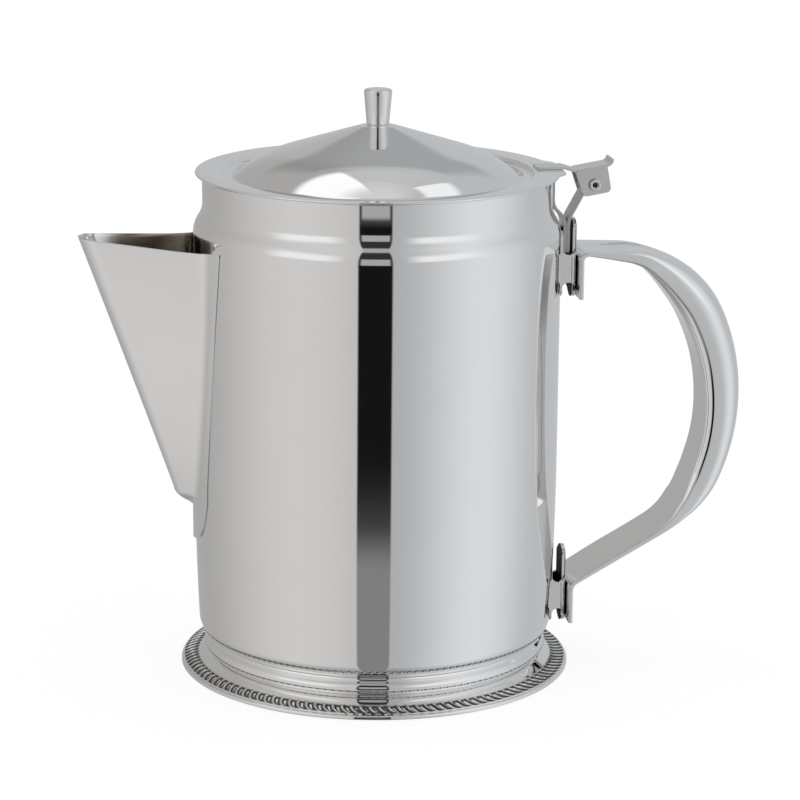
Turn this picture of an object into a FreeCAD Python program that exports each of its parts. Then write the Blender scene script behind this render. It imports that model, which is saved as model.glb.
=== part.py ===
import FreeCAD, Part
import math
import os
from FreeCAD import Vector

# Stainless coffee pot with a hinged lid, in millimetres.
# Z is up, the spout points to -X, the handle to +X, and the origin is
# the middle of the base on the table. Every piece is symmetric about Y = 0.

# Pot body
body_radius = 63.5
body_sheet = 0.8
foot_height = 10.6
bottom_corner_radius = 7.0
lower_taper = 1.4
lower_taper_z = 76.0
rim_z = 174.2
neck_height = 9.6
neck_step = 3.2
shoulder_height = 10.5

# Base
base_overhang = 5.0
base_sheet = 0.9
base_bead_radius = 2.7
base_flange_width = 4.6
base_flange_step = 0.6
base_seat_width = 11.6
border_width = 5.55
border_top_z = 2.9
border_slope = 1.1
rim_roll_radius = 0.75
rim_roll_drop = 0.4
flute_count = 126
flute_margin = 0.6
flute_radius = 0.75
flute_depth = 0.4
flute_slant = 28.0

# Spout
spout_sheet = 0.8
spout_reach = 39.5
spout_below_shoulder = 3.3
spout_tip_rise = 3.4
spout_tip_radius = 6.8
spout_tip_angle = 21.4
spout_foot_reach = 7.5
spout_foot_z = 65.0
spout_foot_drop = 6.6
spout_foot_tuck = 10.5
spout_foot_radius = 6.0
spout_foot_angle = 45.5
spout_flange_angle_top = 26.5
spout_flange_angle_low = 17.0
spout_flange_low_z = 68.0
spout_flange_end_z = 46.5
strainer_hole_radius = 2.6
strainer_pitch = 9.5
strainer_rows = 7
strainer_low_z = 74.0

# Handle
handle_sheet = 1.5
handle_end_width = 24.0
handle_grip_width = 21.5
grip_crown = (6.6, 20.0)
grip_shoulder = (7.8, 70.0)
grip_side = (3.1, 0.0)
grip_lip_bend = (3.8, 90.0)
grip_lip = (2.6, 0.0)
handle_below_shoulder = 6.7
handle_straight = 14.2
handle_top_bend = (40.0, 65.3)
handle_grip_bend = (73.0, 49.0)
handle_low_bend = (27.4, 36.2)
handle_stations = 54
tab_bend_radius = 3.2
upper_tab_length = 13.5
lower_tab_length = 11.8
thumb_dent_length = 24.0
thumb_dent_width = 14.0
thumb_dent_depth = 0.9
thumb_dent_place = 18.5

# Brackets between the pot and the handle
bracket_sheet = 1.2
bracket_reach = 5.8
bracket_width = 14.0
bracket_height = 28.0
bracket_pot_height = 25.4
bracket_bend_radius = 2.6
bracket_lens_width = 17.2
bracket_web_rise = 1.8
bracket_web_drop = 7.9
bracket_notch_radius = 2.5
upper_bracket_drop = 0.4
lower_bracket_drop = 2.5

# Hinge
hinge_reach = 11.7
hinge_below_rim = 4.4
pin_radius = 1.2
pin_clearance = 0.05
pin_head_radius = 2.1
pin_head_height = 0.7
pin_dimple_radius = 0.9
leaf_sheet = 0.8
leaf_overlap = 7.7
leaf_tongue_width = 8.8
leaf_tilt = 10.0
leaf_height = 5.4
leaf_lip_rise = 2.2
leaf_lip_reach = 2.6
ear_gap = 8.4
ear_front = 5.5
ear_back = 5.2
ear_taper = 0.7
ear_low = 3.5
ear_corner_radius = 1.6
arm_sheet = 1.2
arm_side_clearance = 0.2
arm_above_shoulder = 3.6
arm_bend_radius = 7.0
arm_curl = 265.0
strap_below_shoulder = 18.6
strap_top_gap = 0.6

# Lid
lid_sheet = 0.8
lid_gap = 0.3
lid_overhang = 2.4
lid_flange_width = 8.7
lid_gutter_width = 5.6
lid_gutter_depth = 1.9
lid_gutter_lip = 0.6
lid_shoulder_width = 15.4
lid_cone_rise = 7.4
lid_apex_radius = 5.2
lid_apex_rise = 16.0
lid_apex_round = 1.6
lid_tab_half_width = 16.0
lid_tab_length = 1.5
lid_tab_corner = 7.0

# Lid knob
knob_height = 12.2
knob_base_radius = 3.9
knob_top_radius = 4.85
knob_edge_radius = 0.9
screw_radius = 1.5
screw_length = 8.0
screw_head_radius = 3.0
screw_head_height = 1.6
screw_clearance = 0.1
screw_end_gap = 0.5

# Places that follow from the sizes above
neck_radius = body_radius - neck_step
low_radius = body_radius - lower_taper
shoulder_z = rim_z - neck_height - shoulder_height
neck_z = shoulder_z + shoulder_height
base_radius = body_radius + base_overhang
border_outer = base_radius - rim_roll_radius
border_inner = border_outer - border_width
spout_root_z = shoulder_z - spout_below_shoulder
spout_tip_x = body_radius + spout_reach
spout_tip_z = spout_root_z + spout_tip_rise
spout_foot_x = body_radius + spout_foot_reach
handle_top_z = shoulder_z - handle_below_shoulder
upper_tab_x = body_radius + bracket_reach
lower_tab_x = low_radius + bracket_reach
upper_bracket_z = handle_top_z - tab_bend_radius - upper_bracket_drop
hinge_x = body_radius + hinge_reach
hinge_z = rim_z - hinge_below_rim
arm_width = ear_gap - 2 * arm_side_clearance
strap_x = body_radius + bracket_sheet
arm_leave_z = shoulder_z + arm_above_shoulder
strap_low_z = shoulder_z - strap_below_shoulder
strap_bend_z = upper_bracket_z - bracket_height / 2 + bracket_pot_height
leaf_width = ear_gap + 2 * leaf_sheet
lid_top_z = rim_z + lid_gap + lid_sheet
lid_flange_radius = neck_radius + lid_overhang
lid_gutter_outer = lid_flange_radius - lid_flange_width
lid_gutter_inner = lid_gutter_outer - lid_gutter_width
lid_cone_radius = lid_gutter_inner - lid_shoulder_width
lid_tab_reach = lid_flange_radius + lid_tab_length
apex_z = lid_top_z + lid_apex_rise


def at(x, z, y=0.0):
    """A point given by its place along the pot and its height."""
    return Vector(x, y, z)


def chain(start, *steps):
    """Open wire in the XZ plane: a step of one point is a line, of two points an arc."""
    edges = []
    here = at(*start)
    for step in steps:
        if isinstance(step[0], tuple):
            middle, end = at(*step[0]), at(*step[1])
            edges.append(Part.Arc(here, middle, end).toShape())
        else:
            end = at(*step)
            edges.append(Part.makeLine(here, end))
        here = end
    return Part.Wire(edges)


def arc_step(centre, radius, first, last):
    """Middle and end point of an arc round a centre, with angles in degrees."""
    points = []
    for angle in ((first + last) / 2, last):
        turn = math.radians(angle)
        points.append((centre[0] + radius * math.cos(turn), centre[1] + radius * math.sin(turn)))
    return tuple(points)


def sheet_face(wire, thickness):
    """Face of sheet metal between an open wire and its offset."""
    return wire.makeOffset2D(thickness, join=2, fill=True, openResult=True)


def turned(face):
    """Full turn of a face about the pot's axis."""
    return face.revolve(Vector(0, 0, 0), Vector(0, 0, 1), 360)


def turned_profile(points):
    """Full turn of a closed polygon of radius and height."""
    corners = [at(*p) for p in points]
    return turned(Part.Face(Part.makePolygon(corners + corners[:1])))


def across(face, width):
    """Extrusion of an XZ face, centred on Y = 0."""
    moved = face.translated(Vector(0, -width / 2, 0))
    return moved.extrude(Vector(0, width, 0))


def box(x0, x1, y0, y1, z0, z1):
    """Block between two places on each axis."""
    return Part.makeBox(x1 - x0, y1 - y0, z1 - z0, Vector(x0, y0, z0))


def ogee(low, high, inset=0.0):
    """Two arcs from a low point up and in to a high one, upright at its ends, moved in by the inset."""
    height = high[1] - low[1]
    turn = 2 * math.atan2(low[0] - high[0], height)
    radius = height / (2 * math.sin(turn))
    angle = math.degrees(turn)
    return (
        arc_step((low[0] - radius, low[1]), radius - inset, 0, angle),
        arc_step((high[0] + radius, high[1]), radius + inset, 180 + angle, 180),
    )


def body_outline(inset):
    """Outline of the pot from the bottom's middle up to the rim, moved inwards by the inset."""
    corner = (low_radius - bottom_corner_radius, foot_height + bottom_corner_radius)
    rise = lower_taper_z - corner[1]
    reach = (lower_taper ** 2 + rise ** 2) / (2 * lower_taper)
    taper_radius = reach + bottom_corner_radius
    taper = (body_radius - taper_radius, lower_taper_z)
    tangent = -math.degrees(math.asin(rise / reach))
    return chain(
        (0, foot_height + inset),
        (corner[0], foot_height + inset),
        arc_step(corner, bottom_corner_radius - inset, -90, tangent),
        arc_step(taper, taper_radius - inset, tangent, 0),
        (body_radius - inset, shoulder_z),
        *ogee((body_radius, shoulder_z), (neck_radius, neck_z), inset),
        (neck_radius - inset, rim_z),
    )


def filled_body(inset=0.0):
    """The pot's form as one solid: the whole pot, or its hollow when inset by the sheet."""
    wire = body_outline(inset)
    first = wire.Vertexes[0].Point
    last = wire.Vertexes[-1].Point
    closing = Part.makePolygon([last, Vector(0, 0, last.z), first])
    return turned(Part.Face(Part.Wire(wire.Edges + closing.Edges)))


def strainer_holes():
    """Rows of holes behind the spout, as many in a row as the spout's root spans."""
    holes = []
    for row in range(strainer_rows):
        z = strainer_low_z + row * strainer_pitch
        share = (z - spout_foot_z) / (spout_root_z - spout_foot_z)
        angle = spout_flange_angle_low + share * (spout_flange_angle_top - spout_flange_angle_low)
        span = body_radius * math.sin(math.radians(angle)) - 4 * strainer_hole_radius
        count = 1 + int(2 * span / strainer_pitch)
        for k in range(count):
            y = (k - (count - 1) / 2) * strainer_pitch
            start = Vector(0, y, z)
            holes.append(Part.makeCylinder(strainer_hole_radius, body_radius, start, Vector(-1, 0, 0)))
    return Part.Compound(holes)


def pot_body():
    """Drawn can with a stepped-in neck, open at the rim."""
    return filled_body().cut(filled_body(body_sheet)).cut(strainer_holes())


def base():
    """Stamped foot: seat under the pot, rolled bead, sloping flange, fluted border and rolled rim."""
    bead = (border_inner - base_flange_width, foot_height - base_bead_radius)
    bead_low_z = bead[1] - base_bead_radius
    border_low_z = border_top_z - border_slope
    rim_inner = border_outer - 2 * rim_roll_radius
    wire = chain(
        (bead[0] - base_seat_width, foot_height),
        (bead[0], foot_height),
        arc_step(bead, base_bead_radius, 90, -90),
        (bead[0] + base_flange_step, bead_low_z),
        (border_inner, border_top_z),
        (border_outer, border_low_z),
    )
    foot = turned(sheet_face(wire, -base_sheet))
    rim = turned_profile([
        (rim_inner, 0),
        (base_radius, 0),
        (base_radius, border_low_z - rim_roll_drop),
        (border_outer, border_low_z),
        (rim_inner, border_low_z - rim_roll_drop),
    ])
    return foot.fuse(rim).removeSplitter().cut(border_flutes())


def border_flutes():
    """Slanted flutes pressed into the border, spread evenly round it."""
    dip = math.degrees(math.atan2(border_slope, border_width))
    length = border_width - 2 * flute_margin
    z = border_top_z - border_slope / 2 + flute_radius - flute_depth
    flute = Part.makeCylinder(flute_radius, length, Vector(0, 0, -length / 2))
    flute.rotate(Vector(0, 0, 0), Vector(0, 1, 0), 90 + dip)
    flute.rotate(Vector(0, 0, 0), Vector(0, 0, 1), flute_slant)
    flute.translate(Vector(border_inner + border_width / 2, 0, z))
    flutes = []
    for k in range(flute_count):
        copy = flute.copy()
        copy.rotate(Vector(0, 0, 0), Vector(0, 0, 1), 360.0 * k / flute_count)
        flutes.append(copy)
    return Part.Compound(flutes)


def spout_section(z, nose_x, radius, angle, inset):
    """Level V with a round nose: the inset moves both walls inwards."""
    turn = math.radians(angle)
    centre = -nose_x + radius
    r = radius - inset
    root_x = -0.6 * body_radius
    root_y = r / math.cos(turn) + (root_x - centre) * math.tan(turn)
    touch = Vector(centre - r * math.sin(turn), r * math.cos(turn), z)
    near_touch = Vector(touch.x, -touch.y, z)
    nose = Vector(centre - r, 0, z)
    root = Vector(root_x, root_y, z)
    near_root = Vector(root_x, -root_y, z)
    return Part.Wire([
        Part.makeLine(root, touch),
        Part.Arc(touch, nose, near_touch).toShape(),
        Part.makeLine(near_touch, near_root),
        Part.makeLine(near_root, root),
    ])


def spout_form(inset):
    """The spout's outer form, or its hollow when inset by the sheet."""
    drop = spout_foot_drop - 1.3 * inset
    past_tip = 1.07
    top_z = spout_foot_z + past_tip * (spout_tip_z - spout_foot_z)
    top_x = spout_foot_x + past_tip * (spout_tip_x - spout_foot_x)
    top = spout_section(top_z, top_x, spout_tip_radius, spout_tip_angle, inset)
    low = spout_section(spout_foot_z, spout_foot_x, spout_foot_radius, spout_foot_angle, inset)
    walls = Part.makeLoft([low, top], True, True)
    rounds = [low]
    for share, tuck in ((0.55, 0.3), (0.85, 0.63), (1.0, 1.0)):
        x = spout_foot_x - tuck * spout_foot_tuck
        z = spout_foot_z - share * drop
        rounds.append(spout_section(z, x, spout_foot_radius, spout_foot_angle, inset))
    end = Part.makeLoft(rounds, True, False)
    return walls.fuse(end)


def spout_flange():
    """Strip of sheet on the pot's wall round the spout's root."""
    reach = body_radius + spout_sheet
    top_y = body_radius * math.sin(math.radians(spout_flange_angle_top))
    low_y = body_radius * math.sin(math.radians(spout_flange_angle_low))
    turn = (low_y * 0.74, spout_flange_low_z - 0.62 * (spout_flange_low_z - spout_flange_end_z))
    far, near = Vector(0, top_y, spout_root_z), Vector(0, -top_y, spout_root_z)
    low_far, low_near = Vector(0, low_y, spout_flange_low_z), Vector(0, -low_y, spout_flange_low_z)
    end = Vector(0, 0, spout_flange_end_z)
    outline = Part.Wire([
        Part.makeLine(near, far),
        Part.makeLine(far, low_far),
        Part.Arc(low_far, Vector(0, *turn), end).toShape(),
        Part.Arc(end, Vector(0, -turn[0], turn[1]), low_near).toShape(),
        Part.makeLine(low_near, near),
    ])
    patch = Part.Face(outline).extrude(Vector(-reach, 0, 0))
    skin = Part.makeCylinder(reach, shoulder_z - foot_height, Vector(0, 0, foot_height))
    return patch.common(skin)


def spout():
    """Folded V on its flange, hollow, cut off along the sloping mouth."""
    hollow = spout_form(spout_sheet)
    walls = spout_form(0.0).fuse(spout_flange())
    sheet = walls.cut(hollow).cut(filled_body())
    slope = (spout_tip_z - spout_root_z) / (spout_tip_x - body_radius)
    far_x = 1.2 * spout_tip_x
    near_z = spout_root_z - slope * body_radius
    far_z = near_z + slope * far_x
    above = chain((0, near_z), (-far_x, far_z), (-far_x, 2 * far_z), (0, 2 * far_z), (0, near_z))
    return sheet.cut(across(Part.Face(above), 4 * body_radius))


def handle_runs():
    """Runs of the handle's outer face: radius (none when straight), turn in radians and length."""
    runs = [(None, 0.0, handle_straight)]
    heading = 0.0
    x = upper_tab_x + tab_bend_radius + handle_straight
    for radius, turn in (handle_top_bend, handle_grip_bend, handle_low_bend):
        angle = math.radians(turn)
        runs.append((radius, angle, radius * angle))
        x += radius * (math.sin(heading + angle) - math.sin(heading))
        heading += angle
    bend = tab_bend_radius * math.tan((heading - math.pi / 2) / 2)
    runs.append((None, 0.0, (x - lower_tab_x - handle_sheet) / -math.cos(heading) - bend))
    return runs


def handle_place(length):
    """Place and downward heading on the handle's outer face at a length from the upper tab."""
    x, z, heading = upper_tab_x + tab_bend_radius, handle_top_z, 0.0
    for radius, turn, run in handle_runs():
        part = min(length, run)
        if radius:
            angle = turn * part / run
            x += radius * (math.sin(heading + angle) - math.sin(heading))
            z -= radius * (math.cos(heading) - math.cos(heading + angle))
            heading += angle
        else:
            x += part * math.cos(heading)
            z -= part * math.sin(heading)
        length -= part
        if length <= 0:
            break
    return x, z, heading


def smooth(value, low, high):
    """Rise from 0 to 1 between two values, level at both."""
    t = min(1.0, max(0.0, (value - low) / (high - low)))
    return t * t * (3 - 2 * t)


def formed_span():
    """Lengths between which the strip is drawn as a loft, and its whole length."""
    runs = [run for _, _, run in handle_runs()]
    total = sum(runs)
    return 0.1 * runs[0], total - 0.1 * runs[4], total


def handle_bent(length):
    """How far the strip is bent: 0 at its flat ends and 1 at the grip."""
    runs = [run for _, _, run in handle_runs()]
    start, end, _ = formed_span()
    grip_end = sum(runs[:3])
    formed = smooth(length, start, runs[0] + 0.8 * runs[1])
    return formed * (1 - smooth(length, grip_end - 0.35 * runs[2], end))


def formed_half(bent):
    """Bends of half a section from its middle: start, middle and end of each, with their slopes."""
    slope, y, w = 0.0, 0.0, 0.0
    steps, reach = [], 0.0
    for length, turn in (grip_crown, grip_shoulder, grip_side, grip_lip_bend, grip_lip):
        points = [(y, w, slope)]
        for _ in range(2):
            angle = bent * math.radians(turn) / 2
            chord = length / 2
            if angle > 1e-6:
                chord *= math.sin(angle / 2) / (angle / 2)
            y += chord * math.cos(slope + angle / 2)
            w += chord * math.sin(slope + angle / 2)
            slope += angle
            points.append((y, w, slope))
        reach = max(reach, y)
        steps.append(points)
    half = (handle_end_width + bent * (handle_grip_width - handle_end_width)) / 2
    scale = half / reach
    return [[(scale * py, scale * pw, turned_by) for py, pw, turned_by in points] for points in steps]


def handle_section(length):
    """Closed section across the handle: outer skin, inner skin and the two edges."""
    x, z, heading = handle_place(length)
    inward = Vector(-math.sin(heading), 0, -math.cos(heading))
    half = formed_half(handle_bent(length))
    other = [[(-y, w, -slope) for y, w, slope in reversed(points)] for points in reversed(half)]

    def skin(depth):
        edges = []
        for points in other + half:
            spots = [Vector(x, y - depth * math.sin(slope), z) + inward * (w + depth * math.cos(slope))
                     for y, w, slope in points]
            bow = (spots[1] - (spots[0] + spots[2]) * 0.5).Length
            if bow > 1e-4:
                edges.append(Part.Arc(*spots).toShape())
            else:
                edges.append(Part.makeLine(spots[0], spots[2]))
        return edges, spots[2]

    outside, out_end = skin(0.0)
    inside, in_end = skin(handle_sheet)
    out_start = Vector(out_end.x, -out_end.y, out_end.z)
    in_start = Vector(in_end.x, -in_end.y, in_end.z)
    edges = outside + [Part.makeLine(out_end, in_end)] + inside[::-1] + [Part.makeLine(in_start, out_start)]
    return Part.Wire(edges)


def upper_tab(length):
    """Flat upper end, bent down against the upper bracket."""
    centre = (upper_tab_x + tab_bend_radius, handle_top_z - tab_bend_radius)
    wire = chain(
        (centre[0] + length, handle_top_z),
        (centre[0], handle_top_z),
        arc_step(centre, tab_bend_radius, 90, 180),
        (upper_tab_x, centre[1] - upper_tab_length),
    )
    return across(sheet_face(wire, handle_sheet), handle_end_width)


def lower_tab(length, total):
    """Flat lower end, bent down against the lower bracket."""
    start_x, start_z, heading = handle_place(length)
    x, z, heading = handle_place(total)
    centre = (x + tab_bend_radius * math.sin(heading), z + tab_bend_radius * math.cos(heading))
    wire = chain(
        (start_x, start_z),
        (x, z),
        arc_step(centre, tab_bend_radius, 270 - math.degrees(heading), 180),
        (centre[0] - tab_bend_radius, centre[1] - lower_tab_length),
    )
    return across(sheet_face(wire, -handle_sheet), handle_end_width)


def thumb_dent():
    """Shallow pressed hollow for the thumb on the upper arm."""
    x, z, heading = handle_place(thumb_dent_place)
    lift = 4 * thumb_dent_depth
    ball_height = lift + thumb_dent_depth
    spread = 2 * math.sqrt(1 - (lift / ball_height) ** 2)
    scale = FreeCAD.Matrix()
    scale.scale(Vector(thumb_dent_length / spread, thumb_dent_width / spread, ball_height))
    dent = Part.makeSphere(1.0).transformGeometry(scale)
    dent.translate(Vector(0, 0, lift))
    dent.rotate(Vector(0, 0, 0), Vector(0, 1, 0), math.degrees(heading))
    dent.translate(Vector(x, 0, z))
    return dent


def handle():
    """One strip: flat tabs at its ends, formed between them into a channel with turned-in lips."""
    start, end, total = formed_span()
    step = (end - start) / handle_stations
    sections = [handle_section(start + step * k) for k in range(handle_stations + 1)]
    grip = Part.makeLoft(sections, True, False)
    strip = grip.fuse(upper_tab(start)).fuse(lower_tab(end, total))
    return strip.cut(thumb_dent())


def bracket_block(contact_radius, z, inset):
    """Upright block with rounded corners on the handle's side, inset for its hollow."""
    start_x = contact_radius - bracket_reach
    plate_x = contact_radius + bracket_reach - inset
    half = bracket_width / 2 - inset
    r = bracket_bend_radius - inset
    low_z = z - bracket_height / 2
    inner = r * (1 - math.sqrt(0.5))

    def spot(x, y):
        return Vector(x, y, low_z)

    near_wall, near_plate = spot(plate_x - r, -half), spot(plate_x, -half + r)
    far_plate, far_wall = spot(plate_x, half - r), spot(plate_x - r, half)
    outline = Part.Wire([
        Part.makeLine(spot(start_x, -half), near_wall),
        Part.Arc(near_wall, spot(plate_x - inner, -half + inner), near_plate).toShape(),
        Part.makeLine(near_plate, far_plate),
        Part.Arc(far_plate, spot(plate_x - inner, half - inner), far_wall).toShape(),
        Part.makeLine(far_wall, spot(start_x, half)),
        Part.makeLine(spot(start_x, half), spot(start_x, -half)),
    ])
    return Part.Face(outline).extrude(Vector(0, 0, bracket_height))


def bracket_notches(contact_radius, z):
    """Round notches, above and below, that leave a low web on the near and the far side."""
    x = contact_radius + bracket_reach / 2
    r = bracket_notch_radius
    depth = 1.5 * bracket_sheet
    cuts = []
    for y in (-bracket_width / 2, bracket_width / 2 - depth):
        for up, web_z in ((1, z + bracket_web_rise), (-1, z - bracket_web_drop)):
            middle = web_z + up * r
            end = middle + up * bracket_height
            cuts.append(Part.makeCylinder(r, depth, Vector(x, y, middle), Vector(0, 1, 0)))
            cuts.append(box(x - r, x + r, y, y + depth, min(middle, end), max(middle, end)))
    return Part.Compound(cuts)


def bracket_lens(x0, x1, low_z, height):
    """Lens-shaped outline of a bracket's wall, drawn out along X."""
    middle = Vector(x0, 0, low_z + height / 2)
    top = middle + Vector(0, 0, height / 2)
    side = middle + Vector(0, bracket_lens_width / 2, 0)
    outline = Part.Wire([Part.Ellipse(top, side, middle).toShape()])
    return Part.Face(outline).extrude(Vector(x1 - x0, 0, 0))


def bracket(contact_radius, z):
    """Short tube with a lens-shaped wall on the pot, another on the handle's tab, and low webs between."""
    low_z = z - bracket_height / 2
    foot = Vector(0, 0, z - bracket_height)
    pot_side = Part.makeCylinder(contact_radius, 2 * bracket_height, foot)
    hollow_side = Part.makeCylinder(contact_radius + bracket_sheet, 2 * bracket_height, foot)
    hollow = bracket_block(contact_radius, z, bracket_sheet).cut(hollow_side)
    tube = bracket_block(contact_radius, z, 0.0).cut(pot_side).cut(hollow)
    middle_x = contact_radius + bracket_reach / 2
    lens = bracket_lens(0, middle_x, low_z, bracket_pot_height)
    lens = lens.fuse(bracket_lens(middle_x, middle_x + bracket_reach, low_z, bracket_height))
    return tube.common(lens).cut(bracket_notches(contact_radius, z)).cut(filled_body()).removeSplitter()


def rim_brace():
    """Strap that lies on the neck and runs down and out into the upper bracket."""
    wire = chain(
        (strap_x, strap_low_z),
        (strap_x, strap_bend_z),
        *ogee((strap_x, strap_bend_z), (neck_radius, neck_z)),
        (neck_radius, rim_z - strap_top_gap),
    )
    return across(sheet_face(wire, -arm_sheet), arm_width)


def hinge_arm():
    """Strap on the brace that bends away from the pot and curls round the hinge pin."""
    x = strap_x + arm_sheet
    curl = pin_radius + pin_clearance + arm_sheet
    to_pin = (hinge_x - x, hinge_z - arm_leave_z)
    heading = math.degrees(math.atan2(to_pin[1], to_pin[0]) + math.asin(curl / math.hypot(*to_pin)))
    bend = arm_bend_radius * math.tan(math.radians(90 - heading) / 2)
    bend_centre = (x + arm_bend_radius, arm_leave_z - bend)
    first = math.radians(heading + 90)
    touch = (hinge_x + curl * math.cos(first), hinge_z + curl * math.sin(first))
    wire = chain(
        (x, strap_low_z),
        (x, bend_centre[1]),
        arc_step(bend_centre, arm_bend_radius, 180, heading + 90),
        touch,
        arc_step((hinge_x, hinge_z), curl, heading + 90, heading + 90 - arm_curl),
    )
    return across(sheet_face(wire, -arm_sheet), arm_width)


def leaf_spot(u, v):
    """Place given along and above the tilted thumb plate, from the hinge pin."""
    turn = math.radians(leaf_tilt)
    x = hinge_x + u * math.cos(turn) - v * math.sin(turn)
    z = hinge_z + u * math.sin(turn) + v * math.cos(turn)
    return x, z


def hinge_leaf():
    """Tongue on the lid's flange, thumb plate with a turned-up lip, and two ears for the pin."""
    wire = chain(
        (lid_flange_radius - leaf_overlap, lid_top_z),
        (lid_tab_reach + lid_gap, lid_top_z),
        leaf_spot(-ear_back - ear_taper, leaf_height),
        leaf_spot(ear_front, leaf_height),
        (leaf_spot(ear_front + 0.63 * leaf_lip_reach, leaf_height + 0.25 * leaf_lip_rise),
         leaf_spot(ear_front + leaf_lip_reach, leaf_height + leaf_lip_rise)),
    )
    strip = across(sheet_face(wire, leaf_sheet), leaf_width)
    half = leaf_tongue_width / 2
    waist_x = leaf_spot(-ear_back, leaf_height)[0]
    side = (leaf_width - leaf_tongue_width) / 2
    for y in (-leaf_width / 2, half):
        strip = strip.cut(box(0, waist_x, y, y + side, hinge_z, hinge_z + 2 * leaf_height))
    ears = [ear(y) for y in (-ear_gap / 2 - leaf_sheet, ear_gap / 2)]
    return strip.fuse(ears).removeSplitter()


def ear(y):
    """One ear, bent down from the thumb plate, with rounded lower corners and the pin's hole."""
    corners = [leaf_spot(-ear_back - ear_taper, leaf_height), leaf_spot(-ear_back + ear_taper, -ear_low),
               leaf_spot(ear_front, -ear_low), leaf_spot(ear_front, leaf_height)]
    points = [Vector(x, y, z) for x, z in corners]
    plate = Part.Face(Part.makePolygon(points + points[:1])).extrude(Vector(0, leaf_sheet, 0))
    low = [e for e in plate.Edges if e.BoundBox.YLength > 0.9 * leaf_sheet
           and e.CenterOfMass.z < hinge_z]
    plate = plate.makeFillet(ear_corner_radius, low)
    hole = Part.makeCylinder(pin_radius, leaf_sheet, Vector(hinge_x, y, hinge_z), Vector(0, 1, 0))
    return plate.cut(hole)


def hinge_pin():
    """Rivet through the ears and the arm's curl, with a dimpled head at each end."""
    reach = leaf_width / 2
    end = reach + pin_head_height
    low = Vector(hinge_x, -end, hinge_z)
    along = Vector(0, 1, 0)
    pin = Part.makeCylinder(pin_radius, 2 * end, low, along)
    for y in (-end, reach):
        start = Vector(hinge_x, y, hinge_z)
        pin = pin.fuse(Part.makeCylinder(pin_head_radius, pin_head_height, start, along))
    pin = pin.removeSplitter()
    dimple_depth = pin_head_height / 2
    for y in (-end, end - dimple_depth):
        start = Vector(hinge_x, y, hinge_z)
        pin = pin.cut(Part.makeCylinder(pin_dimple_radius, dimple_depth, start, along))
    return pin


def lid_tab():
    """Small extension of the lid's flange under the hinge leaf."""
    x0 = lid_gutter_outer + lid_tab_length
    low_z = lid_top_z - lid_sheet
    plate = box(x0, lid_tab_reach, -lid_tab_half_width, lid_tab_half_width, low_z, lid_top_z)
    outer = [e for e in plate.Edges if e.BoundBox.ZLength > 0.9 * lid_sheet
             and e.CenterOfMass.x > lid_flange_radius]
    return plate.makeFillet(lid_tab_corner, outer)


def lid():
    """Coned lid with a round shoulder, a gutter and a flat flange that lies on the rim."""
    cone_drop = (lid_apex_rise - lid_cone_rise) / (lid_cone_radius - lid_apex_radius)
    apex_start = lid_apex_radius - lid_apex_round
    apex_end = (lid_apex_radius + lid_apex_round, apex_z - cone_drop * lid_apex_round)
    apex_middle = (lid_apex_radius, apex_z - 0.25 * cone_drop * lid_apex_round)
    floor_z = lid_top_z - lid_gutter_depth
    gutter_middle = (lid_gutter_inner + lid_gutter_outer) / 2
    shoulder_middle = (lid_cone_radius + 0.55 * (lid_gutter_inner - lid_cone_radius),
                       lid_top_z + 0.5 * lid_cone_rise)
    wire = chain(
        (0, apex_z),
        (apex_start, apex_z),
        (apex_middle, apex_end),
        (lid_cone_radius, lid_top_z + lid_cone_rise),
        (shoulder_middle, (lid_gutter_inner, lid_top_z - 0.5 * lid_gutter_depth)),
        ((gutter_middle, floor_z), (lid_gutter_outer - lid_gutter_lip, lid_top_z - 0.5 * lid_gutter_depth)),
        (lid_gutter_outer, lid_top_z),
        (lid_flange_radius, lid_top_z),
    )
    shell = turned(sheet_face(wire, -lid_sheet)).fuse(lid_tab()).removeSplitter()
    bore_low = Vector(0, 0, lid_top_z + lid_cone_rise)
    bore = Part.makeCylinder(screw_radius + screw_clearance, lid_apex_rise, bore_low)
    return shell.cut(bore)


def lid_knob():
    """Flared knob, bored from below for its screw."""
    top_z = apex_z + knob_height
    edge = (knob_top_radius - knob_edge_radius, top_z - knob_edge_radius)
    wire = chain(
        (0, apex_z),
        (knob_base_radius, apex_z),
        (knob_top_radius, edge[1]),
        arc_step(edge, knob_edge_radius, 0, 90),
        (0, top_z),
        (0, apex_z),
    )
    bore = Part.makeCylinder(screw_radius, screw_length, Vector(0, 0, apex_z))
    return turned(Part.Face(wire)).cut(bore)


def knob_screw():
    """Screw from inside the lid into the knob."""
    seat_z = apex_z - lid_sheet
    head = Part.makeCylinder(screw_head_radius, screw_head_height, Vector(0, 0, seat_z - screw_head_height))
    shank_length = lid_sheet + screw_length - screw_end_gap
    shank = Part.makeCylinder(screw_radius, shank_length, Vector(0, 0, seat_z))
    return head.fuse(shank).removeSplitter()


def export(node, shape):
    """Write one piece to its own file."""
    shape.exportStep("parts/" + node + ".step")


def main():
    os.makedirs("parts", exist_ok=True)
    handle_length = sum(run for _, _, run in handle_runs())
    lower_bend_z = handle_place(handle_length)[1]
    export("pot_body", pot_body())
    export("base", base())
    export("spout", spout())
    export("handle", handle())
    export("upper_bracket", bracket(body_radius, upper_bracket_z))
    export("lower_bracket", bracket(low_radius, lower_bend_z - lower_bracket_drop))
    export("rim_brace", rim_brace())
    export("hinge_arm", hinge_arm())
    export("hinge_pin", hinge_pin())
    export("lid", lid())
    export("hinge_leaf", hinge_leaf())
    export("lid_knob", lid_knob())
    export("knob_screw", knob_screw())


main()
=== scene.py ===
import math

import bpy
from mathutils import Matrix, Vector


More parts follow.
